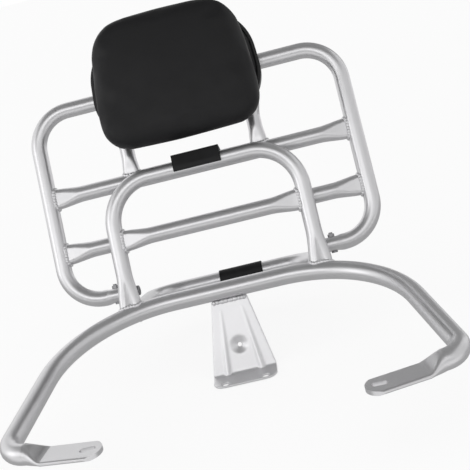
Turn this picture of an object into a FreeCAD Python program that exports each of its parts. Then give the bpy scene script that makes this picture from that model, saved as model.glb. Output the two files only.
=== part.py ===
import FreeCAD, Part
import math
import os

# Folding rear rack for a scooter: a tubular bow with slotted tabs and a pressed foot, a fixed hoop,
# a rear support, and a luggage frame with a backrest that folds down on two pivot pins.
# Millimetres. +X right, +Y to the rear, +Z up out of the mounting faces.
# The origin is midway between the two foot holes, on the underside of the foot.

V = FreeCAD.Vector

# Tube stock: the bow and support are a size larger than the hoop and luggage frame
tube_radius = 9.2
rack_radius = 8.3

# General clearances, and how a squeezed tube end is eased from round
weld_gap = 0.05
fit_gap = 0.05
rest_gap = 0.3
seam_angle = 5.0
squeeze_steps = (0.35, 0.7, 1.0)

# Bow: a straight middle, two large bends, splayed arms and tight elbows
bow_rise = 79.0
bow_setback = 54.5
bow_tilt = 7.0
bow_corner_x = 156.6
bow_bend_radius = 122.0
arm_turn = 79.0
arm_length = 210.0
elbow_radius = 20.0

# Flattened tabs at the arm ends, with slots for the side bolts
tab_skew = 12.0
tab_sink = 4.0
tab_round_run = 21.0
tab_squash_run = 17.0
tab_reach = 89.0
tab_half_width = 13.6
tab_thickness = 4.0
slot_x = 121.7
slot_length = 14.0
slot_radius = 3.3

# Foot bracket: folded and pressed sheet under the middle of the bow
sheet = 2.5
foot_bend_radius = 3.0
foot_top_half = 18.6
foot_half = 32.5
foot_neck = 6.0
foot_front = 5.0
foot_corner_radius = 11.0
foot_hole_x = 20.4
foot_hole_radius = 3.3
press_sink = 0.15
press_steps = 8
flute_top_x = 11.0
flute_top_drop = 20.0
flute_top_half = 2.0
flute_top_height = 0.4
flute_foot_x = 18.0
flute_foot_half = 5.0
flute_foot_height = 3.4
dimple_drop = 57.0
dimple_radius = 11.0
dimple_depth = 4.5
dimple_hole_radius = 2.25

# Hoop: inverted U with a crossbar, standing on the bow
rack_lean = 24.2
hoop_offset = -5.0
hoop_half = 99.6
hoop_below_bar = 2.7
hoop_bend_radius = 46.0
hoop_bar_height = 71.8
foot_pinch_run = 30.0
foot_flare = 11.4
foot_squash = 5.8
groove_run = 24.0
groove_top_radius = 1.5
groove_radius = 7.0
groove_depth = 2.8

# Luggage frame: C-shaped tube and two crossbars, one pitch behind the hoop
frame_pitch = 20.0
frame_half = 165.3
frame_foot = 21.3
frame_top = 227.8
frame_top_bend = 38.0
frame_foot_run = 1.5
lower_bar_height = 74.7
upper_bar_height = 135.3
bar_pinch_run = 30.0
bar_flare = 11.0
bar_squash = 5.0

# Pivots: lugs behind the hoop legs, headed pins, sleeves and cross bolts in the frame's ends
lug_inner_x = 96.0
lug_width = 12.0
lug_radius = 10.0
side_gap = 0.5
pin_radius = 4.0
pivot_gap = 0.05
pin_head_radius = 5.25
pin_head = 5.5
pin_head_round = 1.3
socket_flats = 4.0
socket_depth = 3.0
sleeve_radius = 6.5
sleeve_floor = 1.0
crimp_length = 11.0
crimp_run = 6.0
crimp_half = 7.3
cross_bolt_inset = 7.0
cross_bolt_radius = 2.0
cross_head_radius = 3.2
cross_head = 1.6
cross_nut_flats = 6.0
cross_nut = 3.2
cross_thread = 1.6

# Fold of the luggage frame, and the support that it comes down on
fold_angle = 80.0
support_half = 95.0
support_bend_radius = 40.0

# Rubber buffers
buffer_half = 25.0
support_buffer_x = 7.8
hoop_buffer_front = 11.6
hoop_buffer_flat = 9.4
hoop_buffer_round = 2.0
hoop_buffer_back = 14.0
hoop_buffer_top = 13.4
hoop_buffer_slope = 1.6
hoop_buffer_lip = 4.0
support_buffer_wall = 1.5
support_buffer_wrap = 100.0

# Backrest: two posts on the upper crossbar, a moulded back shell and a cushion
backrest_x = -3.5
post_x = 69.0
post_radius = 7.7
post_pinch_run = 18.0
post_flare = 9.2
post_squash = 5.6
post_squash_run = 16.0
post_gap = 1.0
post_plate_half = 10.5
post_plate = 4.0
screw_inset = 8.0
screw_pitch = 15.0
screw_radius = 2.5
screw_head_radius = 4.75
screw_head = 2.8
screw_head_round = 1.4
shell_gap = 0.5
shell_wall = 3.0
shell_rim = 9.0
shell_bottom = 172.0
shell_top = 290.0
shell_bottom_half = 91.0
shell_top_half = 85.0
shell_corner = 50.0
shell_bulge = 1.0
bow_share = 0.9
pad_bottom = 161.0
pad_top = 294.0
pad_bottom_half = 83.5
pad_top_half = 72.5
pad_bottom_corner = 27.0
pad_top_corner = 30.0
pad_bulge = 3.5
pad_depth = 45.0
pad_crown = 3.0
pad_crown_run = 39.0
pad_round = 13.0
pad_edge = 5.0

# Directions and places worked out from the sizes above
X = V(1, 0, 0)
bow_middle = V(0, bow_setback, bow_rise)
tilt = math.radians(bow_tilt)
lean = math.radians(rack_lean)
up_hoop = V(0, math.sin(lean), math.cos(lean))
behind_hoop = V(0, math.cos(lean), -math.sin(lean))
frame_offset = hoop_offset + frame_pitch
lug_outer_x = lug_inner_x + lug_width
frame_end_x = lug_outer_x + side_gap
frame_plain_x = frame_end_x + crimp_length + crimp_run
frame_foot_bend = frame_half - frame_plain_x - frame_foot_run
sleeve_length = crimp_length - fit_gap
pin_reach = sleeve_length - sleeve_floor
hoop_top = upper_bar_height - hoop_below_bar
post_top = frame_top - rack_radius - post_gap
post_straight_top = post_top - 2 * screw_inset - screw_pitch - post_squash_run
shell_back = frame_offset - rack_radius - shell_gap
sides = (-1, 1)


def in_bow(x, y):
    """Point in the tilted plane of the bow, y running to the rear."""
    return bow_middle + V(x, y * math.cos(tilt), y * math.sin(tilt))


def in_hoop(x, height, offset):
    """Point by its height along the leaning hoop and its offset behind the middle of the bow."""
    return bow_middle + X * x + up_hoop * height + behind_hoop * offset


def join(shapes):
    """One clean solid from touching shapes."""
    return shapes[0].multiFuse(shapes[1:]).removeSplitter().Solids[0]


def rod(start, end, radius):
    return Part.makeCylinder(radius, (end - start).Length, start, end - start)


def bent_pieces(corners, bends, radius):
    """Straight runs of a round bar, with a tangent bend at each inner corner."""
    pieces = []
    start = corners[0]
    for corner, after, bend in zip(corners[1:-1], corners[2:], bends):
        into = (corner - start).normalize()
        out = (after - corner).normalize()
        turn = into.getAngle(out)
        setback = bend * math.tan(turn / 2)
        enter = corner - into * setback
        inside = (out - into * into.dot(out)).normalize()
        disc = Part.Face(Part.Wire(Part.makeCircle(radius, enter, into)))
        pieces.append(rod(start, enter, radius))
        pieces.append(disc.revolve(enter + inside * bend, into.cross(out), math.degrees(turn)))
        start = corner + out * setback
    pieces.append(rod(start, corners[-1], radius))
    return pieces


def section(centre, across, deep, half_width, half_depth):
    """Outline of a squeezed tube: two flats joined by half-round sides."""
    flat = half_width - half_depth

    def at(u, v):
        return centre + across * u + deep * v

    return Part.Wire([
        Part.LineSegment(at(-flat, -half_depth), at(flat, -half_depth)).toShape(),
        Part.Arc(at(flat, -half_depth), at(half_width, 0), at(flat, half_depth)).toShape(),
        Part.LineSegment(at(flat, half_depth), at(-flat, half_depth)).toShape(),
        Part.Arc(at(-flat, half_depth), at(-half_width, 0), at(-flat, -half_depth)).toShape()])


def round_section(centre, across, deep, radius):
    """Circle split where the flats of a squeezed section start."""
    near = radius * math.sin(math.radians(seam_angle))
    far = radius * math.cos(math.radians(seam_angle))

    def at(u, v):
        return centre + across * u + deep * v

    return Part.Wire([
        Part.Arc(at(-near, -far), at(0, -radius), at(near, -far)).toShape(),
        Part.Arc(at(near, -far), at(radius, 0), at(near, far)).toShape(),
        Part.Arc(at(near, far), at(0, radius), at(-near, far)).toShape(),
        Part.Arc(at(-near, far), at(-radius, 0), at(-near, -far)).toShape()])


def squeezed_run(start, end, across, deep, radius, half_width, half_depth):
    """Tube eased from round at start to its full squeeze at end."""
    sections = [round_section(start, across, deep, radius)]
    for share in squeeze_steps:
        ease = share * share * (3 - 2 * share)
        sections.append(section(start + (end - start) * share, across, deep,
                                radius + (half_width - radius) * ease,
                                radius + (half_depth - radius) * ease))
    return Part.makeLoft(sections, True)


def pinched_end(start, end, run_out, across, deep, radius, flare, squash):
    """Tube end squeezed from round at start to its full flare at end, then run on into its seat."""
    along = (end - start).normalize()
    mouth = Part.Face(section(end, across, deep, flare, squash))
    return [squeezed_run(start, end, across, deep, radius, flare, squash), mouth.extrude(along * run_out)]


def rounded_outline(corners, reaches):
    """Closed wire of straight sides with an arc at each corner, by how far it reaches along the sides."""
    edges = []
    ends = []
    count = len(corners)
    for i, corner in enumerate(corners):
        back = (corners[i - 1] - corner).normalize()
        ahead = (corners[(i + 1) % count] - corner).normalize()
        half = back.getAngle(ahead) / 2
        reach = reaches[i]
        radius = reach * math.tan(half)
        bisector = (back + ahead).normalize()
        middle = corner + bisector * (radius / math.sin(half) - radius)
        edges.append(Part.Arc(corner + back * reach, middle, corner + ahead * reach).toShape())
        ends.append((corner + back * reach, corner + ahead * reach))
    for i in range(count):
        edges.append(Part.LineSegment(ends[i][1], ends[(i + 1) % count][0]).toShape())
    return Part.Wire(Part.__sortEdges__(edges))


def prism(outline, run):
    return Part.Face(outline).extrude(run)


def polygon(points):
    return Part.makePolygon(list(points) + [points[0]])


def hexagon(centre, axis, flats, height):
    """Hexagonal prism along a row axis."""
    blank = Part.makeCylinder(flats, height, centre, axis)
    side = axis.cross(X) if abs(axis.dot(X)) < 0.9 else V(0, 1, 0)
    side.normalize()
    for i in range(6):
        turned = FreeCAD.Rotation(axis, 60 * i).multVec(side)
        slab = Part.makeBox(4 * flats, 4 * flats, 4 * flats, V(-2 * flats, -2 * flats, flats / 2))
        slab.Placement = FreeCAD.Placement(centre, FreeCAD.Rotation(V(0, 0, 1), turned))
        blank = blank.cut(slab)
    return blank.Solids[0]


# Bow

bow_straight_half = bow_corner_x - bow_bend_radius * math.tan(math.radians(arm_turn) / 2)
elbow_y = -arm_length * math.sin(math.radians(arm_turn))
elbow_x = bow_corner_x + arm_length * math.cos(math.radians(arm_turn))


def tab_direction(side):
    skew = math.radians(tab_skew)
    return V(-side * math.cos(skew), -math.sin(skew), 0)


def tab_point(side, distance):
    """Point on the arm's run-out, by its distance from the elbow's corner."""
    return in_bow(side * elbow_x, elbow_y) + tab_direction(side) * distance


def blade_point(side, distance):
    """Point on a tab's centre line, sunk below the axis of the tube."""
    return tab_point(side, distance) - V(0, 0, tab_sink)


def bow_path():
    left = [tab_point(-1, tab_round_run), tab_point(-1, 0), in_bow(-bow_corner_x, 0)]
    right = [in_bow(bow_corner_x, 0), tab_point(1, 0), tab_point(1, tab_round_run)]
    return left + right


def bow_pieces(radius):
    bends = [elbow_radius, bow_bend_radius, bow_bend_radius, elbow_radius]
    return bent_pieces(bow_path(), bends, radius)


def bow_cope():
    """Round part of the bow with the weld's gap, for coping what stands on it."""
    return join(bow_pieces(tube_radius + weld_gap))


def slot_place():
    """Where the right-hand slot lies on its tab's centre line."""
    along = (tab_point(1, 0).x - slot_x) / math.cos(math.radians(tab_skew))
    return blade_point(1, along)


def tab(side):
    """Flattened end of the arm, with a round nose and a slot across the scooter."""
    along = tab_direction(side)
    across = V(0, 0, 1).cross(along)
    start = tab_point(side, tab_round_run)
    flat = blade_point(side, tab_round_run + tab_squash_run)
    end = blade_point(side, tab_reach)
    half = tab_thickness / 2
    squeeze = squeezed_run(start, flat, across, V(0, 0, 1), tube_radius, tab_half_width, half)
    blade = Part.Face(section(flat, across, V(0, 0, 1), tab_half_width, half)).extrude(end - flat)
    nose = V(0, 0, -tube_radius)
    square = Part.makeBox(2 * tab_half_width, 4 * tab_half_width, 2 * tube_radius)
    square.Placement = FreeCAD.Placement(end - along * tab_half_width + nose - across * 2 * tab_half_width,
                                         FreeCAD.Rotation(X, along))
    disc = Part.makeCylinder(tab_half_width, 2 * tube_radius, end - along * tab_half_width + nose)
    blade = blade.cut(square.cut(disc))
    middle = V(side * slot_x, slot_place().y, slot_place().z)
    ends = X * (slot_length / 2 - slot_radius)
    cutter = Part.makeBox(2 * ends.x, 2 * slot_radius, 2 * tube_radius,
                          middle - ends - V(0, slot_radius, tube_radius))
    for end_x in (-ends, ends):
        cutter = cutter.fuse(Part.makeCylinder(slot_radius, 2 * tube_radius, middle + end_x + nose))
    return [squeeze, blade.cut(cutter)]


def bow_tube():
    return join(bow_pieces(tube_radius) + tab(-1) + tab(1))


# Foot bracket

foot_fold_height = (sheet / 2 - bow_rise) / math.cos(lean)


def foot_sheet():
    """The folded strip before its sides are trimmed."""
    top = in_hoop(0, -tube_radius + foot_neck, 0)
    fold = in_hoop(0, foot_fold_height, 0)
    front = V(0, -foot_front, sheet / 2)
    up_plate = (top - fold).normalize()
    ahead = (front - fold).normalize()
    half = up_plate.getAngle(ahead) / 2
    bisector = (up_plate + ahead).normalize()
    centre = fold + bisector * ((foot_bend_radius + sheet / 2) / math.sin(half))
    faces = []
    to_plate = (fold + up_plate * (centre - fold).dot(up_plate) - centre).normalize()
    to_flange = (fold + ahead * (centre - fold).dot(ahead) - centre).normalize()
    for radius in (foot_bend_radius, foot_bend_radius + sheet):
        faces.append((centre + to_plate * radius, centre - bisector * radius, centre + to_flange * radius))
    inner, outer = faces
    rise = up_plate * (top - fold).dot(up_plate)
    reach = ahead * (front - fold).Length
    plate_top = [p + up_plate * (rise.Length - (p - fold).dot(up_plate)) for p in (inner[0], outer[0])]
    flange_end = [p + ahead * (reach.Length - (p - fold).dot(ahead)) for p in (inner[2], outer[2])]
    outline = [Part.LineSegment(plate_top[0], inner[0]).toShape(),
               Part.Arc(*inner).toShape(),
               Part.LineSegment(inner[2], flange_end[0]).toShape(),
               Part.LineSegment(flange_end[0], flange_end[1]).toShape(),
               Part.LineSegment(flange_end[1], outer[2]).toShape(),
               Part.Arc(outer[2], outer[1], outer[0]).toShape(),
               Part.LineSegment(outer[0], plate_top[1]).toShape(),
               Part.LineSegment(plate_top[1], plate_top[0]).toShape()]
    strip = Part.Face(Part.Wire(outline)).extrude(X * 2 * foot_half)
    strip.translate(X * -foot_half)
    return strip


def bell(centre, half, height):
    """Closed outline of a soft rib that stands forward of the sheet, flat at the back."""
    crest = []
    for i in range(press_steps + 1):
        share = 2 * i / press_steps - 1
        rise = height * (1 + math.cos(math.pi * share)) / 2
        crest.append(centre + X * half * share - behind_hoop * rise)
    spline = Part.BSplineCurve()
    spline.interpolate(crest)
    sunk = behind_hoop * sheet / 2
    return Part.Wire([spline.toShape(), Part.LineSegment(crest[-1], crest[-1] + sunk).toShape(),
                      Part.LineSegment(crest[-1] + sunk, crest[0] + sunk).toShape(),
                      Part.LineSegment(crest[0] + sunk, crest[0]).toShape()])


def flute(side, behind):
    """Pressed stiffening rib that widens down into the fold, a distance behind the middle of the sheet."""
    top = in_hoop(side * flute_top_x, -flute_top_drop, behind)
    foot = in_hoop(side * flute_foot_x, foot_fold_height - sheet, behind)
    return Part.makeLoft([bell(top, flute_top_half, flute_top_height),
                          bell(foot, flute_foot_half, flute_foot_height)], True, True)


def dish(behind, back):
    """Soft conical dish about the dimple's hole, from a plane behind the sheet's middle to a flat end."""
    profile = []
    for i in range(press_steps + 1):
        share = i / press_steps
        sink = dimple_depth * (1 + math.cos(math.pi * share)) / 2
        profile.append(in_hoop(dimple_radius * share, -dimple_drop, behind + sink))
    spline = Part.BSplineCurve()
    spline.interpolate(profile)
    rim = in_hoop(dimple_radius, -dimple_drop, back)
    middle = in_hoop(0, -dimple_drop, back)
    outline = Part.Wire([spline.toShape(), Part.LineSegment(profile[-1], rim).toShape(),
                         Part.LineSegment(rim, middle).toShape(),
                         Part.LineSegment(middle, profile[0]).toShape()])
    return Part.Face(outline).revolve(middle, behind_hoop, 360)


def foot_bracket():
    bracket = foot_sheet()
    clear = behind_hoop * -2 * foot_half
    for side in sides:
        wedge = polygon([in_hoop(side * foot_top_half, -tube_radius, 0) + clear,
                         in_hoop(side * foot_half, foot_fold_height + foot_bend_radius, 0) + clear,
                         in_hoop(side * 2 * foot_half, foot_fold_height, 0) + clear,
                         in_hoop(side * 2 * foot_half, tube_radius, 0) + clear,
                         in_hoop(side * foot_top_half, tube_radius, 0) + clear])
        bracket = bracket.cut(prism(wedge, clear * -2))
    corners = [edge for edge in bracket.Edges
               if edge.Length < 1.01 * sheet and abs(edge.tangentAt(edge.FirstParameter).z) > 0.99
               and edge.CenterOfMass.y < -foot_front + fit_gap]
    bracket = bracket.makeFillet(foot_corner_radius, corners)
    for side in sides:
        bracket = bracket.fuse(flute(side, press_sink - sheet / 2))
        bracket = bracket.cut(flute(side, press_sink + sheet / 2))
    bracket = bracket.fuse(dish(sheet / 2 - press_sink, 0))
    bracket = bracket.cut(dish(-sheet / 2 - press_sink, -sheet))
    hole = in_hoop(0, -dimple_drop, 0)
    bracket = bracket.cut(rod(hole, hole + behind_hoop * 4 * dimple_depth, dimple_hole_radius))
    for side in sides:
        hole = V(side * foot_hole_x, 0, -sheet)
        bracket = bracket.cut(rod(hole, hole + V(0, 0, 3 * sheet), foot_hole_radius))
    ground = Part.makeBox(6 * foot_half, 6 * foot_half, 4 * sheet,
                          V(-3 * foot_half, -3 * foot_half, -4 * sheet))
    bracket = bracket.cut(ground).cut(bow_cope())
    return bracket.removeSplitter().Solids[0]


# Hoop

def hoop_solid(extra=0.0):
    """Inverted U with flared feet, with extra thickness for coping what is welded to it."""
    pinch_top = tube_radius + foot_pinch_run
    corners = [in_hoop(-hoop_half, pinch_top, hoop_offset), in_hoop(-hoop_half, hoop_top, hoop_offset),
               in_hoop(hoop_half, hoop_top, hoop_offset), in_hoop(hoop_half, pinch_top, hoop_offset)]
    pieces = bent_pieces(corners, [hoop_bend_radius, hoop_bend_radius], rack_radius + extra)
    for side in sides:
        pieces += pinched_end(in_hoop(side * hoop_half, pinch_top, hoop_offset),
                              in_hoop(side * hoop_half, tube_radius / 2, hoop_offset),
                              tube_radius, X, behind_hoop,
                              rack_radius + extra, foot_flare + extra, foot_squash + extra)
    return join(pieces)


def foot_groove(side):
    """Tapered groove that is pressed into the front of a hoop foot."""
    top = in_hoop(side * hoop_half, tube_radius + groove_run, hoop_offset - rack_radius - groove_top_radius)
    base = in_hoop(side * hoop_half, 0, hoop_offset - foot_squash + groove_depth - groove_radius)
    return Part.makeCone(groove_top_radius, groove_radius, (base - top).Length, top, base - top)


def hoop_tube():
    """The hoop with its feet grooved and coped to the bow."""
    hoop = hoop_solid()
    for side in sides:
        hoop = hoop.cut(foot_groove(side))
    hoop = hoop.cut(bow_cope())
    return max(hoop.Solids, key=lambda solid: solid.Volume)


def bar(half_span, height, offset):
    """Crossbar between two upright tubes, with pinched ends coped to them."""
    inner = half_span - rack_radius - bar_pinch_run
    pieces = [rod(in_hoop(-inner, height, offset), in_hoop(inner, height, offset), rack_radius)]
    for side in sides:
        start = in_hoop(side * inner, height, offset)
        end = in_hoop(side * (inner + bar_pinch_run), height, offset)
        pieces += pinched_end(start, end, rack_radius, up_hoop, behind_hoop,
                              rack_radius, bar_flare, bar_squash)
    whole = join(pieces)
    for side in sides:
        foot = in_hoop(side * half_span, height - 2 * bar_flare, offset)
        top = in_hoop(side * half_span, height + 2 * bar_flare, offset)
        whole = whole.cut(rod(foot, top, rack_radius + weld_gap))
    return whole.Solids[0]


def hoop_crossbar():
    return bar(hoop_half, hoop_bar_height, hoop_offset)


# Luggage frame and its pivots

def pivot(x):
    return in_hoop(x, frame_foot, frame_offset)


def cross_bolt_axis(side):
    return pivot(side * (frame_end_x + cross_bolt_inset))


def frame_tube():
    """C-shaped tube whose crimped ends are bored for the pivot sleeves."""
    corners = [pivot(-frame_plain_x), pivot(-frame_half),
               in_hoop(-frame_half, frame_top, frame_offset), in_hoop(frame_half, frame_top, frame_offset),
               pivot(frame_half), pivot(frame_plain_x)]
    bends = [frame_foot_bend, frame_top_bend, frame_top_bend, frame_foot_bend]
    pieces = bent_pieces(corners, bends, rack_radius)
    squeezed = 2 * rack_radius - crimp_half
    for side in sides:
        start = pivot(side * frame_plain_x)
        end = pivot(side * (frame_end_x + crimp_length))
        mouth = pivot(side * frame_end_x)
        pieces.append(squeezed_run(start, end, behind_hoop, up_hoop, rack_radius, squeezed, crimp_half))
        tip = Part.Face(section(end, behind_hoop, up_hoop, squeezed, crimp_half)).extrude(mouth - end)
        tip = tip.cut(rod(mouth, end, sleeve_radius + fit_gap))
        centre = cross_bolt_axis(side)
        reach = up_hoop * 2 * tube_radius
        tip = tip.cut(rod(centre - reach, centre + reach, cross_bolt_radius + fit_gap))
        pieces.append(tip.Solids[0])
    return join(pieces)


def frame_crossbar(height):
    return bar(frame_half, height, frame_offset)


def hinge_lug(side):
    """Ear with a round end about the pivot, coped to the back of the hoop leg."""
    x = side * lug_inner_x
    cheek = prism(polygon([in_hoop(x, frame_foot - lug_radius, hoop_offset),
                           in_hoop(x, frame_foot - lug_radius, frame_offset),
                           in_hoop(x, frame_foot + lug_radius, frame_offset),
                           in_hoop(x, frame_foot + lug_radius, hoop_offset)]), X * side * lug_width)
    ear = cheek.fuse(rod(pivot(x), pivot(side * lug_outer_x), lug_radius))
    beyond = side * lug_width
    ear = ear.cut(rod(pivot(x - beyond), pivot(side * lug_outer_x + beyond), pin_radius + pivot_gap))
    ear = ear.cut(hoop_solid(weld_gap))
    return max(ear.removeSplitter().Solids, key=lambda solid: solid.CenterOfMass.y)


def pivot_pin(side):
    """Headed pin with a hexagon socket, cross-drilled for the bolt that holds it in the frame."""
    seat = pivot(side * lug_inner_x)
    inward = X * -side
    head = Part.makeCylinder(pin_head_radius, pin_head, seat, inward)
    rim = [edge for edge in head.Edges if abs(edge.CenterOfMass.x - seat.x) > pin_head - fit_gap
           and edge.Closed]
    head = head.makeFillet(pin_head_round, rim)
    shank = rod(seat, pivot(side * (frame_end_x + pin_reach)), pin_radius)
    pin = head.fuse(shank)
    socket = seat + inward * (pin_head - socket_depth)
    pin = pin.cut(hexagon(socket, inward, socket_flats, 2 * socket_depth))
    centre = cross_bolt_axis(side)
    reach = up_hoop * 2 * tube_radius
    pin = pin.cut(rod(centre - reach, centre + reach, cross_bolt_radius + fit_gap))
    return pin.removeSplitter().Solids[0]


def pin_sleeve(side):
    """Turned sleeve that fills the frame's bore around the pin."""
    mouth = pivot(side * frame_end_x)
    outward = X * side
    sleeve = Part.makeCylinder(sleeve_radius, sleeve_length, mouth, outward)
    sleeve = sleeve.cut(Part.makeCylinder(pin_radius + fit_gap, pin_reach + fit_gap, mouth, outward))
    centre = cross_bolt_axis(side)
    reach = up_hoop * 2 * tube_radius
    return sleeve.cut(rod(centre - reach, centre + reach, cross_bolt_radius + fit_gap)).Solids[0]


def cross_bolt(side):
    """Bolt up through tube, sleeve and pin, with its low head underneath."""
    centre = cross_bolt_axis(side)
    under = centre - up_hoop * crimp_half
    head = Part.makeCylinder(cross_head_radius, cross_head, under - up_hoop * cross_head, up_hoop)
    shank = rod(under, centre + up_hoop * (crimp_half + cross_nut + cross_thread), cross_bolt_radius)
    return head.fuse(shank).removeSplitter().Solids[0]


def cross_nut_on(side):
    seat = cross_bolt_axis(side) + up_hoop * crimp_half
    blank = hexagon(seat, up_hoop, cross_nut_flats, cross_nut)
    bore = rod(seat - up_hoop, seat + up_hoop * 2 * cross_nut, cross_bolt_radius + fit_gap)
    return blank.cut(bore).Solids[0]


# Rear support and rubber buffers

folded = lean + math.radians(fold_angle)
out_folded = V(0, math.sin(folded), math.cos(folded))
under_folded = V(0, math.cos(folded), -math.sin(folded))
support_below = rack_radius + tube_radius + support_buffer_wall + rest_gap


def in_support(x, distance):
    """Point on the support's plane, under the folded frame, by its distance from the pivots."""
    return pivot(x) + out_folded * distance + under_folded * support_below


def rear_support():
    """U-shaped tube from the back of the bow to under the upper crossbar of the folded frame."""
    end = upper_bar_height - frame_foot
    bend = math.asin((support_half - bow_straight_half) / bow_bend_radius)
    on_bow = in_bow(support_half, -bow_bend_radius * (1 - math.cos(bend)))
    root = (on_bow - pivot(support_half)).dot(out_folded)
    corners = [in_support(-support_half, root), in_support(-support_half, end),
               in_support(support_half, end), in_support(support_half, root)]
    tube = join(bent_pieces(corners, [support_bend_radius, support_bend_radius], tube_radius))
    tube = tube.cut(bow_cope()).cut(hoop_solid(weld_gap))
    return max(tube.Solids, key=lambda solid: solid.Volume)


def support_buffer():
    """Rubber saddle over the top of the support."""
    start = in_support(support_buffer_x - buffer_half, upper_bar_height - frame_foot)
    ring = Part.makeCylinder(tube_radius + support_buffer_wall, 2 * buffer_half, start, X)
    ring = ring.cut(Part.makeCylinder(tube_radius + fit_gap, 2 * buffer_half, start, X))
    below = start + under_folded * (tube_radius * math.sin(math.radians(support_buffer_wrap - 90)))
    wide = out_folded * 2 * tube_radius
    deep = under_folded * 2 * tube_radius
    return ring.cut(prism(polygon([below - wide, below + wide, below + wide + deep, below - wide + deep]),
                          X * 2 * buffer_half)).Solids[0]


def hoop_buffer():
    """Rubber moulding clipped over the hoop, with a seat for the upper crossbar behind it."""
    def at(offset, height):
        return in_hoop(-buffer_half, hoop_top + height, hoop_offset + offset)

    over = X * 2 * buffer_half
    flank = -math.sqrt(hoop_buffer_front ** 2 - hoop_buffer_lip ** 2)
    block = prism(polygon([at(flank, -hoop_buffer_lip), at(-hoop_buffer_front, 0),
                           at(-hoop_buffer_flat, hoop_buffer_top),
                           at(hoop_buffer_back, hoop_buffer_top - hoop_buffer_slope),
                           at(hoop_buffer_back, -hoop_buffer_lip)]), over)
    block = block.cut(rod(at(0, 0), at(0, 0) + over, rack_radius + fit_gap))
    seat = in_hoop(-buffer_half, upper_bar_height, frame_offset)
    block = block.cut(rod(seat, seat + over, rack_radius + rest_gap))
    block = max(block.Solids, key=lambda solid: solid.Volume)
    front = [edge for edge in block.Edges if abs(edge.tangentAt(edge.FirstParameter).x) > 0.99
             and (edge.CenterOfMass - at(-hoop_buffer_flat, hoop_buffer_top)).cross(X).Length < fit_gap]
    brow = [edge for edge in block.Edges if abs(edge.tangentAt(edge.FirstParameter).x) > 0.99
            and (edge.CenterOfMass - at(-hoop_buffer_front, 0)).cross(X).Length < fit_gap]
    return block.makeFillet(hoop_buffer_round, front).makeFillet(hoop_buffer_front, brow)


# Backrest

def post(side):
    """Tube with a pinched foot on the upper crossbar and a flattened top behind the shell."""
    x = backrest_x + side * post_x
    base = upper_bar_height + rack_radius
    flat_offset = shell_back + post_plate / 2 + fit_gap
    start = in_hoop(x, base + post_pinch_run, frame_offset)
    neck = in_hoop(x, post_straight_top, frame_offset)
    flat = in_hoop(x, post_straight_top + post_squash_run, flat_offset)
    pieces = pinched_end(start, in_hoop(x, base, frame_offset), rack_radius, X, behind_hoop,
                         post_radius, post_flare, post_squash)
    seat = rod(in_hoop(x - 3 * post_flare, upper_bar_height, frame_offset),
               in_hoop(x + 3 * post_flare, upper_bar_height, frame_offset), rack_radius + weld_gap)
    pieces.append(rod(start, neck, post_radius))
    pieces.append(squeezed_run(neck, flat, X, behind_hoop, post_radius, post_plate_half, post_plate / 2))
    plate = Part.Face(section(flat, X, behind_hoop, post_plate_half, post_plate / 2))
    pieces.append(plate.extrude(in_hoop(x, post_top, flat_offset) - flat))
    whole = max(join(pieces).cut(seat).Solids, key=lambda solid: solid.Volume)
    for height in screw_heights():
        hole = in_hoop(x, height, flat_offset - post_plate)
        whole = whole.cut(rod(hole, hole + behind_hoop * 2 * post_plate, screw_radius + fit_gap))
    return whole.Solids[0]


def screw_heights():
    return (post_top - screw_inset, post_top - screw_inset - screw_pitch)


def backrest_screw(x, height):
    """Pan-headed screw through a post's flat top into the shell."""
    seat = in_hoop(x, height, shell_back + post_plate + 2 * fit_gap)
    head = Part.makeCylinder(screw_head_radius, screw_head, seat, behind_hoop)
    rim = [edge for edge in head.Edges
           if edge.Closed and (edge.CenterOfMass - seat).dot(behind_hoop) > fit_gap]
    head = head.makeFillet(screw_head_round, rim)
    shank = rod(seat, seat - behind_hoop * (post_plate + shell_wall), screw_radius)
    return head.fuse(shank).removeSplitter().Solids[0]


def backrest_outline(offset, bottom, top, bottom_half, top_half, bottom_corner, top_corner, bulge, inset):
    """Rounded trapezium with bowed sides, on a plane parallel to the hoop, drawn in by an inset."""
    low = bottom + inset
    high = top - inset
    wide = bottom_half - inset
    narrow = top_half - inset
    middle = (low + high) / 2
    waist = (wide + narrow) / 2 + bulge
    outline = [(-wide, low), (0, low - bulge / 2), (wide, low), (waist, middle),
               (narrow, high), (0, high + bulge), (-narrow, high), (-waist, middle)]
    corners = [in_hoop(backrest_x + x, height, offset) for x, height in outline]
    lower = max(bottom_corner - inset, bottom_corner / 4)
    upper = max(top_corner - inset, top_corner / 4)
    under = bow_share * (wide - lower)
    beside = bow_share * (middle - low - max(lower, upper))
    over = bow_share * (narrow - upper)
    return rounded_outline(corners, [lower, under, lower, beside, upper, over, upper, beside])


def shell_outline(offset, inset=0.0):
    return backrest_outline(offset, shell_bottom, shell_top, shell_bottom_half, shell_top_half,
                            shell_corner, shell_corner, shell_bulge, inset)


def pad_outline(offset, inset=0.0):
    return backrest_outline(offset, pad_bottom, pad_top, pad_bottom_half, pad_top_half,
                            pad_bottom_corner, pad_top_corner, pad_bulge, inset)


def backrest_shell():
    """Shallow moulded tray, open to the front, with holes for the screws."""
    tray = prism(shell_outline(shell_back), behind_hoop * -(shell_wall + shell_rim))
    hollow = prism(shell_outline(shell_back - shell_wall, shell_wall), behind_hoop * -2 * shell_rim)
    tray = tray.cut(hollow)
    for side in sides:
        for height in screw_heights():
            hole = in_hoop(backrest_x + side * post_x, height, shell_back - 2 * shell_wall)
            tray = tray.cut(rod(hole, hole + behind_hoop * 4 * shell_wall, screw_radius + fit_gap))
    return tray.Solids[0]


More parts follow.
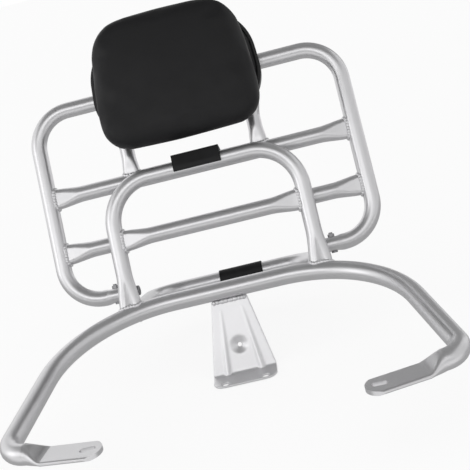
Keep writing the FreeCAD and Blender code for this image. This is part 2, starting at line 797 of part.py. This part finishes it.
def backrest_pad():
    """Crowned cushion whose back plugs into the shell."""
    face = shell_back - shell_wall - rest_gap
    lip = shell_back - shell_wall - shell_rim - rest_gap
    shoulder = face - pad_depth + pad_crown
    eased = pad_round * (1 - math.sqrt(0.5))
    plug = prism(shell_outline(face, shell_wall + rest_gap), behind_hoop * (lip - face))
    body = Part.makeLoft([pad_outline(lip, pad_edge), pad_outline(lip - 2 * pad_edge),
                          pad_outline(shoulder + pad_round), pad_outline(shoulder + eased, eased),
                          pad_outline(shoulder, pad_round),
                          pad_outline(shoulder - pad_crown, pad_crown_run)], True)
    return join([plug, body])


def pair(make):
    """Left and right copies of a fastener as one group."""
    return Part.makeCompound([make(side) for side in sides])


nodes = {
    "bow_tube": bow_tube(),
    "foot_bracket": foot_bracket(),
    "hoop_tube": hoop_tube(),
    "hoop_crossbar": hoop_crossbar(),
    "rear_support": rear_support(),
    "support_buffer": support_buffer(),
    "hoop_buffer": hoop_buffer(),
    "hinge_lug_left": hinge_lug(-1),
    "hinge_lug_right": hinge_lug(1),
    "frame_tube": frame_tube(),
    "upper_crossbar": frame_crossbar(upper_bar_height),
    "lower_crossbar": frame_crossbar(lower_bar_height),
    "pivot_pins": pair(pivot_pin),
    "pin_sleeve_left": pin_sleeve(-1),
    "pin_sleeve_right": pin_sleeve(1),
    "cross_bolts": pair(cross_bolt),
    "cross_nuts": pair(cross_nut_on),
    "post_left": post(-1),
    "post_right": post(1),
    "backrest_shell": backrest_shell(),
    "backrest_pad": backrest_pad(),
    "backrest_screws": Part.makeCompound([backrest_screw(backrest_x + side * post_x, height)
                                          for side in sides for height in screw_heights()]),
}

os.makedirs("parts", exist_ok=True)
for name, shape in nodes.items():
    shape.exportStep("parts/" + name + ".step")
    state = "valid" if shape.isValid() else "INVALID"
    print(name, len(shape.Solids), "solids", round(shape.Volume), "mm3", state)
print("slot middle", slot_place())
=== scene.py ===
import math

import bpy
from mathutils import Matrix, Vector

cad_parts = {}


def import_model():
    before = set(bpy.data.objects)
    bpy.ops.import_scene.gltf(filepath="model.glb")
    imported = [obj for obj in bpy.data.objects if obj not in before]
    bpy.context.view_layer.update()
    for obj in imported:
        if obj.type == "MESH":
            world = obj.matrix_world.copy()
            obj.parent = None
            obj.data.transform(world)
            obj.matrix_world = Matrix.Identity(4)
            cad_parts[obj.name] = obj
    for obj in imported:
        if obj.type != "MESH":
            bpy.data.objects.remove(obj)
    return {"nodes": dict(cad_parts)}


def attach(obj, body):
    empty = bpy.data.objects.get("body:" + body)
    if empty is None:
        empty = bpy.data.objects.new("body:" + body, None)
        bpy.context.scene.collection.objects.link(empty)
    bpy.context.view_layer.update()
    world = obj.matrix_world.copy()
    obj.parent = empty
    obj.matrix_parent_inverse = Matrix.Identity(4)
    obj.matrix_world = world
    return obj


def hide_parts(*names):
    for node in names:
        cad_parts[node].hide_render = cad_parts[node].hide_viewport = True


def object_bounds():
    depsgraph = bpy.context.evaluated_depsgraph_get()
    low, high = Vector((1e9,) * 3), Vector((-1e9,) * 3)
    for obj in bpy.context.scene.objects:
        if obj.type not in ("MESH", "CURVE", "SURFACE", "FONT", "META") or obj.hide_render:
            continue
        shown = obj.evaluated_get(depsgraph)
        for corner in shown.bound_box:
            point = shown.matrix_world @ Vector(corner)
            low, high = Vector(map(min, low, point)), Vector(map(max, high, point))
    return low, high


# Looks of the folding scooter rack: satin silver tube, pressed foot, rubber buffers, black backrest.
# Metres, in the frame of the solids: +X right, +Y to the rear, +Z up.

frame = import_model()
cad_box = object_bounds()
nodes = frame["nodes"]
lowest = cad_box[0][2]
sides = (-1, 1)

# Sizes of the solids that the welds and the cushion follow
tube_radius = 0.0092
rack_radius = 0.0083
bow_middle = Vector((0.0, 0.0545, 0.079))
bow_tilt = math.radians(7.0)
bow_straight_half = 0.056
bow_bend_radius = 0.122
rack_lean = math.radians(24.2)
hoop_offset = -0.005
hoop_half = 0.0996
hoop_bar_height = 0.0718
frame_offset = 0.015
frame_half = 0.1653
frame_foot = 0.0213
lower_bar_height = 0.0747
upper_bar_height = 0.1353
fold_angle = math.radians(80.0)
folded_lean = rack_lean + fold_angle
support_half = 0.095
support_below = 0.0193
sheet_half = 0.00125
foot_top_half = 0.0186
lug_radius = 0.010
backrest_x = -0.0035
post_x = 0.069

# Outlines of the welded tube ends, as half their length and half their width
bar_end = (0.011, 0.005)
hoop_foot = (0.0114, 0.0058)
post_foot = (0.0092, 0.0056)
support_end = (0.00921, 0.0092)

# Directions of the leaning hoop, the tilted bow and the folded frame
right_hand = Vector((1.0, 0.0, 0.0))
up_hoop = Vector((0.0, math.sin(rack_lean), math.cos(rack_lean)))
behind_hoop = Vector((0.0, math.cos(rack_lean), -math.sin(rack_lean)))
behind_bow = Vector((0.0, math.cos(bow_tilt), math.sin(bow_tilt)))
above_bow = Vector((0.0, -math.sin(bow_tilt), math.cos(bow_tilt)))
out_folded = Vector((0.0, math.sin(folded_lean), math.cos(folded_lean)))
under_folded = Vector((0.0, math.cos(folded_lean), -math.sin(folded_lean)))

# Weld beads, with the ripple of their drops and a slow waver in their size
bead_radius = 0.0022
bead_pitch = 1.4 * bead_radius
bead_step = 0.00045
bead_sides = 10
bead_valley = 0.74
bead_lean = 0.7
bead_waver = 0.07
bead_waver_rate = 610.0
bead_end_steps = 0.3
foot_bead_radius = 0.0023
foot_bead_pitch = 0.0046
foot_bead_drop = 0.0022
lug_bead_span = (-0.0036, 0.0030)

# Distances at which the search for the bow's surface starts, and its step
hoop_foot_start = 0.022
foot_start = -0.016
support_start = 0.015
search_step = 0.0001

# Softened pieces
smoothing_factor = 0.5
foot_voxel = 0.0007
foot_smoothing = 10
cushion_voxel = 0.004
cushion_smoothing = 4

# Cushion, with its cover blown out by pressure and its front crowned
cushion_pressure = 4.0
cushion_tension = 25.0
cushion_bending = 4.0
cushion_frames = 20
cushion_swell = 0.0015
cushion_crown = 0.004
cushion_front = 0.016
cushion_edge = (0.006, 0.010)
pad_bottom = 0.161
pad_top = 0.294
pad_bottom_half = 0.0835
pad_top_half = 0.0725
pad_corner = 0.028

# Photograph's camera
photo_pixels = 470
focal_pixels = 957.6
sensor_mm = 36.0
camera_place = Vector((0.0977, -0.8584, 0.4109))
camera_right = Vector((0.9692, 0.0052, -0.2463))
camera_up = Vector((0.2334, 0.3007, 0.9247))

# Studio's white surroundings
world_strength = 0.85
world_whiteness = 1.0
floor_width = 80.0
floor_level = lowest - 0.001
floor_tone = 0.9
floor_roughness = 0.9
floor_whiteness = 0.85

# Lamps, each with its place, width, height and power
lamp_target = Vector((0.0, 0.05, 0.15))
lamps = {
    "front": ((-0.7, -1.9, 1.25), 1.8, 0.6, 3.0),
    "left": ((-1.9, -0.6, 0.9), 1.0, 1.0, 3.0),
}

# Grey cards, each with its middle, its two spans and its tone
low_card_level = lowest - 0.0005
cards = {
    "front_card": ((0.0, -2.2, 0.3), (4.4, 0.0, 0.0), (0.0, 0.0, 0.6), 0.40),
    "back_card": ((1.1, 2.2, 1.5), (2.2, 0.0, 0.0), (0.0, 0.0, 2.2), 0.30),
    "right_card": ((2.2, -0.6, 1.1), (0.0, 3.2, 0.0), (0.0, 0.0, 2.2), 0.75),
    "ceiling_front": ((0.0, -1.1, 2.6), (4.4, 0.0, 0.0), (0.0, 2.2, 0.0), 0.20),
    "ceiling_back": ((0.0, 1.1, 2.6), (4.4, 0.0, 0.0), (0.0, 2.2, 0.0), 0.25),
    "low_card": ((0.0, 0.4, low_card_level), (3.0, 0.0, 0.0), (0.0, 1.2, 0.0), 0.45),
}


# Objects

def new_object(name, data):
    """Object with the given data, put in the scene."""
    thing = bpy.data.objects.new(name, data)
    bpy.context.scene.collection.objects.link(thing)
    return thing


def coat(mesh, material):
    """Gives a mesh one material and no other."""
    mesh.materials.clear()
    mesh.materials.append(material)


def shade_smooth(mesh):
    for polygon in mesh.polygons:
        polygon.use_smooth = True


# Materials

def new_material(name):
    material = bpy.data.materials.new(name)
    material.use_nodes = True
    tree = material.node_tree
    return material, tree, tree.nodes["Principled BSDF"]


def object_noise(tree, scale, detail):
    """Noise fixed to the object's own coordinates, in cycles per metre."""
    place = tree.nodes.new("ShaderNodeTexCoord")
    noise = tree.nodes.new("ShaderNodeTexNoise")
    noise.inputs["Scale"].default_value = scale
    noise.inputs["Detail"].default_value = detail
    tree.links.new(place.outputs["Object"], noise.inputs["Vector"])
    return noise.outputs["Fac"]


def vary(tree, socket, value, stops):
    """Moves a socket with a value between two stops, each a place and a grey or colour."""
    node = tree.nodes.new("ShaderNodeValToRGB")
    for element, (place, colour) in zip(node.color_ramp.elements, stops):
        tone = (colour, colour, colour) if isinstance(colour, float) else colour
        element.position = place
        element.color = (*tone, 1.0)
    tree.links.new(value, node.inputs["Fac"])
    tree.links.new(node.outputs["Color"], socket)


def bump(tree, shader, heights):
    """Stacks bumps; each is a height value, its strength and its depth in metres."""
    normal = None
    for height, strength, depth in heights:
        node = tree.nodes.new("ShaderNodeBump")
        node.inputs["Strength"].default_value = strength
        node.inputs["Distance"].default_value = depth
        tree.links.new(height, node.inputs["Height"])
        if normal:
            tree.links.new(normal, node.inputs["Normal"])
        normal = node.outputs["Normal"]
    tree.links.new(normal, shader.inputs["Normal"])


def satin_silver(name, light, roughness):
    """Silver paint over steel: faint flake, slight orange peel and a soft gloss."""
    material, tree, shader = new_material(name)
    cloud = object_noise(tree, scale=28.0, detail=4.0)
    flake = object_noise(tree, scale=4200.0, detail=1.0)
    peel = object_noise(tree, scale=420.0, detail=2.0)
    dull = (light * 0.962, light * 0.958, light * 0.975)
    bright = (light, light * 0.996, light * 1.012)
    vary(tree, shader.inputs["Base Color"], cloud, [(0.3, dull), (0.7, bright)])
    vary(tree, shader.inputs["Roughness"], cloud, [(0.25, roughness - 0.03), (0.75, roughness + 0.04)])
    shader.inputs["Metallic"].default_value = 0.88
    bump(tree, shader, [(peel, 0.05, 0.0002), (flake, 0.06, 0.00006)])
    return material


def plated_steel(name, colour, roughness):
    """Plated steel with an uneven gloss and fine tool marks."""
    material, tree, shader = new_material(name)
    cloud = object_noise(tree, scale=160.0, detail=4.0)
    marks = object_noise(tree, scale=2600.0, detail=2.0)
    dull = tuple(channel * 0.8 for channel in colour)
    vary(tree, shader.inputs["Base Color"], cloud, [(0.3, dull), (0.7, colour)])
    vary(tree, shader.inputs["Roughness"], cloud, [(0.3, roughness), (0.7, roughness + 0.12)])
    shader.inputs["Metallic"].default_value = 0.95
    bump(tree, shader, [(marks, 0.2, 0.00005)])
    return material


def moulded_rubber(name):
    """Matt black rubber with a faint bloom and a fine moulded grain."""
    material, tree, shader = new_material(name)
    cloud = object_noise(tree, scale=90.0, detail=4.0)
    grain = object_noise(tree, scale=2200.0, detail=3.0)
    black = (0.004, 0.004, 0.0045)
    bloom = (0.009, 0.009, 0.010)
    vary(tree, shader.inputs["Base Color"], cloud, [(0.3, black), (0.75, bloom)])
    vary(tree, shader.inputs["Roughness"], cloud, [(0.3, 0.48), (0.7, 0.62)])
    shader.inputs["Specular IOR Level"].default_value = 0.3
    bump(tree, shader, [(grain, 0.2, 0.0001)])
    return material


def moulded_plastic(name):
    """Black moulded shell with a spark-eroded texture."""
    material, tree, shader = new_material(name)
    cloud = object_noise(tree, scale=40.0, detail=3.0)
    grain = object_noise(tree, scale=1500.0, detail=3.0)
    black = (0.006, 0.006, 0.007)
    worn = (0.010, 0.010, 0.011)
    vary(tree, shader.inputs["Base Color"], cloud, [(0.3, black), (0.7, worn)])
    vary(tree, shader.inputs["Roughness"], grain, [(0.3, 0.42), (0.7, 0.56)])
    bump(tree, shader, [(grain, 0.25, 0.0001)])
    return material


def leatherette(name):
    """Smooth black cover with a fine pebbled grain and soft creases."""
    material, tree, shader = new_material(name)
    place = tree.nodes.new("ShaderNodeTexCoord")
    pebble = tree.nodes.new("ShaderNodeTexVoronoi")
    pebble.feature = "SMOOTH_F1"
    pebble.inputs["Scale"].default_value = 900.0
    tree.links.new(place.outputs["Object"], pebble.inputs["Vector"])
    cloud = object_noise(tree, scale=14.0, detail=3.0)
    crease = object_noise(tree, scale=60.0, detail=5.0)
    black = (0.0065, 0.0065, 0.0074)
    sheen = (0.0085, 0.0085, 0.0095)
    vary(tree, shader.inputs["Base Color"], cloud, [(0.3, black), (0.7, sheen)])
    vary(tree, shader.inputs["Roughness"], crease, [(0.3, 0.50), (0.7, 0.60)])
    shader.inputs["Specular IOR Level"].default_value = 0.28
    bump(tree, shader, [(crease, 0.06, 0.0008), (pebble.outputs["Distance"], 0.16, 0.0002)])
    return material


tube_paint = satin_silver("tube_paint", light=0.70, roughness=0.32)
# Lighter copy of the tube paint for the pressed foot: painted light, standing in for the brightness its
# front-facing plate catches
lit_sheet_paint = satin_silver("lit_sheet_paint", light=0.84, roughness=0.42)
# Lighter copy of the tube paint for the weld beads: painted light, lifting the shade that falls on the
# beads in the joints
lit_weld_paint = satin_silver("lit_weld_paint", light=0.80, roughness=0.45)
zinc = plated_steel("zinc", colour=(0.52, 0.53, 0.54), roughness=0.30)
bolt_steel = plated_steel("bolt_steel", colour=(0.30, 0.30, 0.31), roughness=0.30)
black_oxide = plated_steel("black_oxide", colour=(0.05, 0.05, 0.055), roughness=0.36)
rubber = moulded_rubber("rubber")
shell_plastic = moulded_plastic("shell_plastic")
cover = leatherette("cover")

finish_of_node = {
    "foot_bracket": lit_sheet_paint,
    "support_buffer": rubber,
    "hoop_buffer": rubber,
    "pivot_pins": bolt_steel,
    "pin_sleeve_left": zinc,
    "pin_sleeve_right": zinc,
    "cross_bolts": bolt_steel,
    "cross_nuts": bolt_steel,
    "backrest_screws": black_oxide,
    "backrest_shell": shell_plastic,
    "backrest_pad": cover,
}


def finish_nodes():
    """Gives each solid its finish, which is tube paint where none is listed."""
    for name, node in nodes.items():
        coat(node.data, finish_of_node.get(name, tube_paint))


# Places on the tubes

def in_hoop(x, height, offset):
    """Point by its height along the leaning hoop and its offset behind the middle of the bow."""
    return bow_middle + right_hand * x + up_hoop * height + behind_hoop * offset


def tube_rise(aside):
    """Height of a rack tube's surface above its axis, at a distance aside from that axis."""
    return math.sqrt(rack_radius ** 2 - aside ** 2)


def oval(half_long, half_short):
    """Points round the outline of a flattened tube, evenly spaced, as distances along its two axes."""
    straight = half_long - half_short
    bend = math.pi * half_short
    lap = 4 * straight + 2 * bend
    count = round(lap / bead_step)
    points = []
    for index in range(count):
        run = lap * index / count
        turn = min(max(run - straight, 0.0), bend)
        turn += min(max(run - 3 * straight - bend, 0.0), bend)
        angle = turn / half_short
        slide = run - turn
        along = slide if slide < straight else 2 * straight - slide
        along = along if slide < 3 * straight else slide - 4 * straight
        points.append((along + half_short * math.sin(angle), half_short * math.cos(angle)))
    return points


def line(start, end):
    """Points evenly spaced from start to just before end."""
    count = max(2, round((end - start).length / bead_step))
    return [start.lerp(end, index / count) for index in range(count)]


def bow_distance(point):
    """Distance to the bow's centre line, straight in the middle and bent towards both arms."""
    place = point - bow_middle
    beyond = abs(place.x) - bow_straight_half
    back = place.dot(behind_bow)
    if beyond > 0:
        back = math.hypot(beyond, back + bow_bend_radius) - bow_bend_radius
    return math.hypot(back, place.dot(above_bow))


def reach_bow(start, direction):
    """Point from start along a direction where the bow's surface begins, or where it comes nearest."""
    step = direction * search_step
    point = start.copy()
    gap = bow_distance(point)
    while gap > tube_radius and bow_distance(point + step) < gap:
        point += step
        gap = bow_distance(point)
    return point


# Welds

def bead_size(run, radius, pitch):
    """Radius at a distance along a bead, which swells and narrows like a row of overlapping drops."""
    drop = (run / pitch) % 1.0
    ripple = bead_valley + (1.0 - bead_valley) * math.sin(math.pi * drop ** bead_lean)
    waver = 1.0 + bead_waver * math.sin(run * bead_waver_rate)
    return radius * ripple * waver


def bead_rings(path, radius, pitch, closed):
    """Corners of a bead's rings along a path, drawn in at the ends of an open bead."""
    count = len(path)
    middle = sum(path, Vector()) / count
    verts = []
    run = 0.0
    for index, point in enumerate(path):
        before = path[index - 1] if closed or index else point
        after = path[(index + 1) % count] if closed or index < count - 1 else point
        along = (after - before).normalized()
        out = point - middle
        out = (out - along * out.dot(along)).normalized()
        aside = along.cross(out)
        size = bead_size(run, radius, pitch)
        if not closed:
            from_end = min(index, count - 1 - index) + bead_end_steps
            size *= math.sqrt(min(1.0, from_end * bead_step / radius))
        for side in range(bead_sides):
            turn = 2 * math.pi * side / bead_sides
            verts.append(point + out * (size * math.cos(turn)) + aside * (size * math.sin(turn)))
        run += (after - point).length
    return verts


def bead_faces(count, closed):
    """Faces between a bead's rings, and over both ends of an open bead."""
    faces = []
    for index in range(count if closed else count - 1):
        here = index * bead_sides
        there = (index + 1) % count * bead_sides
        for side in range(bead_sides):
            beside = (side + 1) % bead_sides
            faces.append((here + side, here + beside, there + beside, there + side))
    if not closed:
        faces.append(tuple(reversed(range(bead_sides))))
        faces.append(tuple(range((count - 1) * bead_sides, count * bead_sides)))
    return faces


def weld(name, body, paths, radius=bead_radius, pitch=bead_pitch, closed=True):
    """One painted piece from the beads of a joint."""
    verts = []
    faces = []
    for path in paths:
        first = len(verts)
        verts += bead_rings(path, radius, pitch, closed)
        faces += [tuple(first + corner for corner in face) for face in bead_faces(len(path), closed)]
    mesh = bpy.data.meshes.new(name)
    mesh.from_pydata(verts, [], faces)
    shade_smooth(mesh)
    coat(mesh, lit_weld_paint)
    piece = new_object(name, mesh)
    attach(piece, body)


def both(bead, *sizes):
    """Paths of a joint's two beads."""
    return [bead(side, *sizes) for side in sides]


def bar_bead(side, half_span, height, offset):
    """Bead where a crossbar's flattened end meets an upright tube."""
    path = []
    for rise, deep in oval(*bar_end):
        path.append(in_hoop(side * (half_span - tube_rise(deep)), height + rise, offset + deep))
    return path


def hoop_foot_bead(side):
    """Bead where the hoop's pinched foot stands on the bow."""
    path = []
    for wide, deep in oval(*hoop_foot):
        start = in_hoop(side * hoop_half + wide, hoop_foot_start, hoop_offset + deep)
        path.append(reach_bow(start, -up_hoop))
    return path


def post_bead(side):
    """Bead where a backrest post stands on the upper crossbar."""
    x = backrest_x + side * post_x
    path = []
    for wide, deep in oval(*post_foot):
        path.append(in_hoop(x + wide, upper_bar_height + tube_rise(deep), frame_offset + deep))
    return path


def foot_bead(face):
    """Bead along the front or the back of the foot's top edge, under the bow."""
    left, right = [in_hoop(side * foot_top_half, foot_start, face * sheet_half) for side in sides]
    return [reach_bow(point, up_hoop) - up_hoop * foot_bead_drop for point in line(left, right)]


def lug_bead(side):
    """Bead round the inner face of an ear, on the back of the hoop's leg."""
    inner, outer = lug_bead_span
    corners = [(outer, -1), (inner, -1), (inner, 1), (outer, 1)]
    path = []
    for (wide, low), (next_wide, high) in zip(corners, corners[1:]):
        start = Vector((hoop_half + wide, frame_foot + low * lug_radius, 0.0))
        end = Vector((hoop_half + next_wide, frame_foot + high * lug_radius, 0.0))
        for point in line(start, end):
            path.append(in_hoop(side * point.x, point.y, hoop_offset + tube_rise(point.x - hoop_half)))
    return path


def support_bead(side):
    """Bead where the rear support's end meets the back of the bow."""
    pivot = in_hoop(side * support_half, frame_foot, frame_offset)
    path = []
    for wide, deep in oval(*support_end):
        axis = pivot + under_folded * (support_below + deep)
        path.append(reach_bow(axis + right_hand * wide + out_folded * support_start, -out_folded))
    return path


def welds():
    weld("weld_hoop_feet", "base", both(hoop_foot_bead))
    weld("weld_hoop_bar", "base", both(bar_bead, hoop_half, hoop_bar_height, hoop_offset))
    weld("weld_foot", "base", both(foot_bead), foot_bead_radius, foot_bead_pitch, closed=False)
    weld("weld_lugs", "base", both(lug_bead), closed=False)
    weld("weld_support", "base", both(support_bead))
    weld("weld_lower_bar", "luggage_frame", both(bar_bead, frame_half, lower_bar_height, frame_offset))
    weld("weld_upper_bar", "luggage_frame", both(bar_bead, frame_half, upper_bar_height, frame_offset))
    weld("weld_posts", "luggage_frame", both(post_bead))


# Softened pieces

def remeshed(name, mesh, voxel):
    """New object from a mesh, rebuilt from even voxels."""
    piece = new_object(name, mesh)
    bpy.context.view_layer.objects.active = piece
    piece.select_set(True)
    remesh = piece.modifiers.new("even", "REMESH")
    remesh.mode = "VOXEL"
    remesh.voxel_size = voxel
    bpy.ops.object.modifier_apply(modifier="even")
    piece.select_set(False)
    return piece


def soften(piece, rounds):
    """Rounds a piece's edges and shades it smooth."""
    smooth = piece.modifiers.new("soft", "SMOOTH")
    smooth.factor = smoothing_factor
    smooth.iterations = rounds
    shade_smooth(piece.data)


# Pressed foot

def pressed_foot():
    """Foot with the soft edges of pressed sheet on its folds, flutes and dimple."""
    piece = remeshed("pressed_foot", nodes["foot_bracket"].data.copy(), foot_voxel)
    soften(piece, foot_smoothing)
    coat(piece.data, lit_sheet_paint)
    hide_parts("foot_bracket")
    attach(piece, "base")


# Cushion

def pad_inset(x, height):
    """How far a point of the cushion's front lies inside its outline with rounded corners."""
    rise = (height - pad_bottom) / (pad_top - pad_bottom)
    half = pad_bottom_half + (pad_top_half - pad_bottom_half) * rise
    from_side = half - abs(x - backrest_x)
    from_end = min(height - pad_bottom, pad_top - height)
    if from_side < pad_corner and from_end < pad_corner:
        return pad_corner - math.hypot(pad_corner - from_side, pad_corner - from_end)
    return min(from_side, from_end)


def crown(mesh):
    """Gives the front face one even crown from its middle to its rounded edges."""
    places = [vertex.co - bow_middle for vertex in mesh.vertices]
    front = min(place.dot(behind_hoop) for place in places)
    middle = (pad_bottom + pad_top) / 2
    start, full = cushion_edge
    for vertex, place in zip(mesh.vertices, places):
        depth = place.dot(behind_hoop)
        height = place.dot(up_hoop)
        if depth > front + cushion_front:
            continue
        share = (pad_inset(place.x, height) - start) / (full - start)
        share = min(max(share, 0.0), 1.0)
        wide = (place.x - backrest_x) / pad_bottom_half
        tall = (height - middle) / (pad_top - middle)
        dome = (1 - wide ** 2) * (1 - tall ** 2)
        vertex.co += behind_hoop * (share * (front + cushion_crown * (1 - dome) - depth))


def cushion_blank(source):
    """Copy of the cushion's solid with one even crown on its front, remeshed evenly."""
    mesh = source.data.copy()
    crown(mesh)
    piece = remeshed("backrest_cushion", mesh, cushion_voxel)
    crown(piece.data)
    return piece


def swell(piece):
    """Blows the cover out under pressure, no further than the swell limit."""
    scene = bpy.context.scene
    start = [vertex.co.copy() for vertex in piece.data.vertices]
    cloth = piece.modifiers.new("cover", "CLOTH")
    cloth.settings.use_pressure = True
    cloth.settings.uniform_pressure_force = cushion_pressure
    cloth.settings.tension_stiffness = cushion_tension
    cloth.settings.bending_stiffness = cushion_bending
    cloth.settings.effector_weights.gravity = 0.0
    for moment in range(1, cushion_frames + 1):
        scene.frame_set(moment)
    view = piece.evaluated_get(bpy.context.evaluated_depsgraph_get())
    moved = [vertex.co.copy() for vertex in view.to_mesh().vertices]
    piece.modifiers.remove(cloth)
    scene.frame_set(1)
    for vertex, before, after in zip(piece.data.vertices, start, moved):
        move = after - before
        if move.length > cushion_swell:
            move = move.normalized() * cushion_swell
        vertex.co = before + move


def cushion():
    """Upholstered cushion in place of its plain solid."""
    piece = cushion_blank(nodes["backrest_pad"])
    swell(piece)
    soften(piece, cushion_smoothing)
    finer = piece.modifiers.new("finer", "SUBSURF")
    finer.levels = 1
    finer.render_levels = 1
    coat(piece.data, cover)
    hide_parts("backrest_pad")
    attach(piece, "luggage_frame")


# Studio

def camera():
    """Camera fitted to the photograph."""
    data = bpy.data.cameras.new("photo_camera")
    data.sensor_width = sensor_mm
    data.sensor_fit = "HORIZONTAL"
    data.lens = focal_pixels / photo_pixels * sensor_mm
    data.dof.use_dof = False
    view = new_object("photo_camera", data)
    right = camera_right.normalized()
    back = right.cross(camera_up).normalized()
    up = back.cross(right)
    turn = Matrix((right, up, back)).transposed().to_4x4()
    view.matrix_world = Matrix.Translation(camera_place) @ turn
    bpy.context.scene.camera = view


def area_light(name, place, width, height, power):
    """Soft lamp aimed at the rack."""
    data = bpy.data.lights.new(name, "AREA")
    data.shape = "RECTANGLE"
    data.size = width
    data.size_y = height
    data.energy = power
    lamp = new_object(name, data)
    lamp.location = place
    lamp.rotation_euler = (lamp_target - Vector(place)).to_track_quat("-Z", "Y").to_euler()


def white_when_seen(tree, plain, white_type, whiteness):
    """Mixes white into a shader, by a share, for what is seen directly, in gloss or through glass."""
    rays = tree.nodes.new("ShaderNodeLightPath")
    seen = rays.outputs["Is Camera Ray"]
    for kind in ("Is Glossy Ray", "Is Transmission Ray"):
        either = tree.nodes.new("ShaderNodeMath")
        either.operation = "MAXIMUM"
        tree.links.new(seen, either.inputs[0])
        tree.links.new(rays.outputs[kind], either.inputs[1])
        seen = either.outputs[0]
    share = tree.nodes.new("ShaderNodeMath")
    share.operation = "MULTIPLY"
    share.inputs[1].default_value = whiteness
    tree.links.new(seen, share.inputs[0])
    white = tree.nodes.new(white_type)
    white.inputs["Color"].default_value = (1.0, 1.0, 1.0, 1.0)
    white.inputs["Strength"].default_value = 1.0
    mix = tree.nodes.new("ShaderNodeMixShader")
    tree.links.new(share.outputs[0], mix.inputs[0])
    tree.links.new(plain, mix.inputs[1])
    tree.links.new(white.outputs[0], mix.inputs[2])
    return mix.outputs[0]


def world():
    """White surroundings that light the rack at a plain level."""
    sky = bpy.data.worlds.new("studio")
    sky.use_nodes = True
    tree = sky.node_tree
    plain = tree.nodes["Background"]
    plain.inputs["Color"].default_value = (1.0, 1.0, 1.0, 1.0)
    plain.inputs["Strength"].default_value = world_strength
    shader = white_when_seen(tree, plain.outputs[0], "ShaderNodeBackground", world_whiteness)
    tree.links.new(shader, tree.nodes["World Output"].inputs["Surface"])
    bpy.context.scene.world = sky


def flat_sheet(name, centre, across, rise):
    """Flat four-cornered object by its middle and its two spans."""
    middle = Vector(centre)
    half_across = Vector(across) / 2
    half_rise = Vector(rise) / 2
    low = middle - half_rise
    high = middle + half_rise
    corners = [low - half_across, low + half_across, high + half_across, high - half_across]
    mesh = bpy.data.meshes.new(name)
    mesh.from_pydata(corners, [], [(0, 1, 2, 3)])
    return new_object(name, mesh)


def floor():
    """White floor just under the foot, which keeps a faint shadow of the rack."""
    ground = flat_sheet("floor", (0.0, 0.0, floor_level), (floor_width, 0.0, 0.0), (0.0, floor_width, 0.0))
    material, tree, shader = new_material("floor_white")
    shader.inputs["Base Color"].default_value = (floor_tone, floor_tone, floor_tone, 1.0)
    shader.inputs["Roughness"].default_value = floor_roughness
    white = white_when_seen(tree, shader.outputs[0], "ShaderNodeEmission", floor_whiteness)
    tree.links.new(white, tree.nodes["Material Output"].inputs["Surface"])
    coat(ground.data, material)


def grey_card(name, centre, across, rise, tone):
    """Flat studio card that only shows as a grey area in the gloss of the metal."""
    card = flat_sheet(name, centre, across, rise)
    card.visible_camera = False
    card.visible_diffuse = False
    card.visible_shadow = False
    material, tree, _ = new_material(name)
    glow = tree.nodes.new("ShaderNodeEmission")
    glow.inputs["Color"].default_value = (tone, tone, tone, 1.0)
    tree.links.new(glow.outputs[0], tree.nodes["Material Output"].inputs["Surface"])
    coat(card.data, material)


def studio():
    bpy.context.scene.view_settings.view_transform = "Standard"
    camera()
    world()
    floor()
    for name, lamp in lamps.items():
        area_light(name, *lamp)
    for name, card in cards.items():
        grey_card(name, *card)


finish_nodes()
welds()
pressed_foot()
cushion()
studio()
